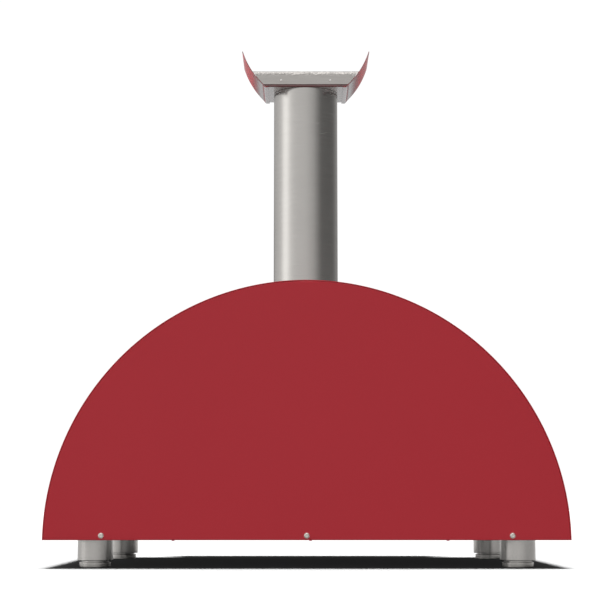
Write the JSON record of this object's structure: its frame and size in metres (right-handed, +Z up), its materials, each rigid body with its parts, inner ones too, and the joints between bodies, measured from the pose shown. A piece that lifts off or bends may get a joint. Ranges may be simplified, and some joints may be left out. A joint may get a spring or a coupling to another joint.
{
  "type": "wood fired pizza oven",
  "caption": "Countertop half-barrel wood-fired oven with refractory floor, steel vault, hinged front door, landing shelf, flue with winged cap and adjustable feet.",
  "frame": {"origin": "on the floor, under the middle of the oven's overall bounding box", "axes": "+Z up, -Y out of the mouth (front), +Y out of the flat rear panel, +X to the right as seen from the front"},
  "size_m": [0.98, 0.7812, 1.0975],
  "materials": {
    "red_powder_coat": "satin powder coat",
    "brushed_steel": "satin brushed",
    "bright_steel": "bright",
    "chamber_steel": "heat-tinted satin",
    "galvanised_steel": "matt zinc",
    "black_steel": "matt black",
    "ceramic_fibre": "matt fibre",
    "fire_clay": "matt refractory",
    "ash_wood": "oiled",
    "dial_enamel": "gloss enamel",
    "dial_glass": "clear"
  },
  "bodies": {
    "oven": {"base_tray": "galvanised_steel", "cap_base_plate": "red_powder_coat", "cap_hood": "brushed_steel", "cap_rivet_front_left": "bright_steel", "cap_rivet_front_right": "bright_steel", "cap_rivet_rear_left": "bright_steel", "cap_rivet_rear_right": "bright_steel", "cap_wing_left": "red_powder_coat", "cap_wing_right": "red_powder_coat", "ember_guard": "black_steel", "floor_insulation": "ceramic_fibre", "floor_tile_front_left": "fire_clay", "floor_tile_front_right": "fire_clay", "floor_tile_rear_left": "fire_clay", "floor_tile_rear_right": "fire_clay", "flue_collar": "brushed_steel", "flue_pipe": "brushed_steel", "flue_spigot": "chamber_steel", "foot_tube_front_left": "brushed_steel", "foot_tube_front_right": "brushed_steel", "foot_tube_rear_left": "brushed_steel", "foot_tube_rear_right": "brushed_steel", "front_insulation": "ceramic_fibre", "front_panel": "brushed_steel", "front_screw_left": "bright_steel", "front_screw_right": "bright_steel", "hinge_bracket_lower": "bright_steel", "hinge_bracket_upper": "bright_steel", "inner_front_wall": "chamber_steel", "inner_rear_wall": "chamber_steel", "inner_vault": "chamber_steel", "landing_shelf": "brushed_steel", "mouth_throat": "chamber_steel", "outer_shell": "red_powder_coat", "rear_insulation": "ceramic_fibre", "rear_panel": "red_powder_coat", "rear_screw_centre": "bright_steel", "rear_screw_left": "bright_steel", "rear_screw_right": "bright_steel", "shelf_screw_left": "bright_steel", "shelf_screw_right": "bright_steel", "thermometer_case": "bright_steel", "thermometer_dial": "dial_enamel", "thermometer_glass": "dial_glass", "vault_insulation": "ceramic_fibre"},
    "door": {"door_handle_bar": "ash_wood", "door_handle_post_left": "bright_steel", "door_handle_post_right": "bright_steel", "door_inner_skin": "chamber_steel", "door_insulation": "ceramic_fibre", "door_outer_skin": "brushed_steel", "hinge_strap_lower": "bright_steel", "hinge_strap_upper": "bright_steel"},
    "needle": {"thermometer_needle": "black_steel"},
    "pad_front_left": {"foot_pad_front_left": "brushed_steel"},
    "pad_front_right": {"foot_pad_front_right": "brushed_steel"},
    "pad_rear_left": {"foot_pad_rear_left": "brushed_steel"},
    "pad_rear_right": {"foot_pad_rear_right": "brushed_steel"}
  },
  "joints": [
    {"name": "door_hinge", "type": "hinge", "parent": "oven", "child": "door", "pos_m": [-0.3, -0.2963, 0.1891], "axis": [0, 0, -1], "range_deg": [0, 120]},
    {"name": "thermometer_needle_spin", "type": "hinge", "parent": "oven", "child": "needle", "pos_m": [0, -0.2883, 0.3879], "axis": [0, 1, 0], "range_deg": [0, 270]},
    {"name": "pad_front_left_screw", "type": "slide", "parent": "oven", "child": "pad_front_left", "axis": [0, 0, 1], "range_m": [-0.012, 0]},
    {"name": "pad_front_right_screw", "type": "slide", "parent": "oven", "child": "pad_front_right", "axis": [0, 0, 1], "range_m": [-0.012, 0]},
    {"name": "pad_rear_left_screw", "type": "slide", "parent": "oven", "child": "pad_rear_left", "axis": [0, 0, 1], "range_m": [-0.012, 0]},
    {"name": "pad_rear_right_screw", "type": "slide", "parent": "oven", "child": "pad_rear_right", "axis": [0, 0, 1], "range_m": [-0.012, 0]}
  ]
}
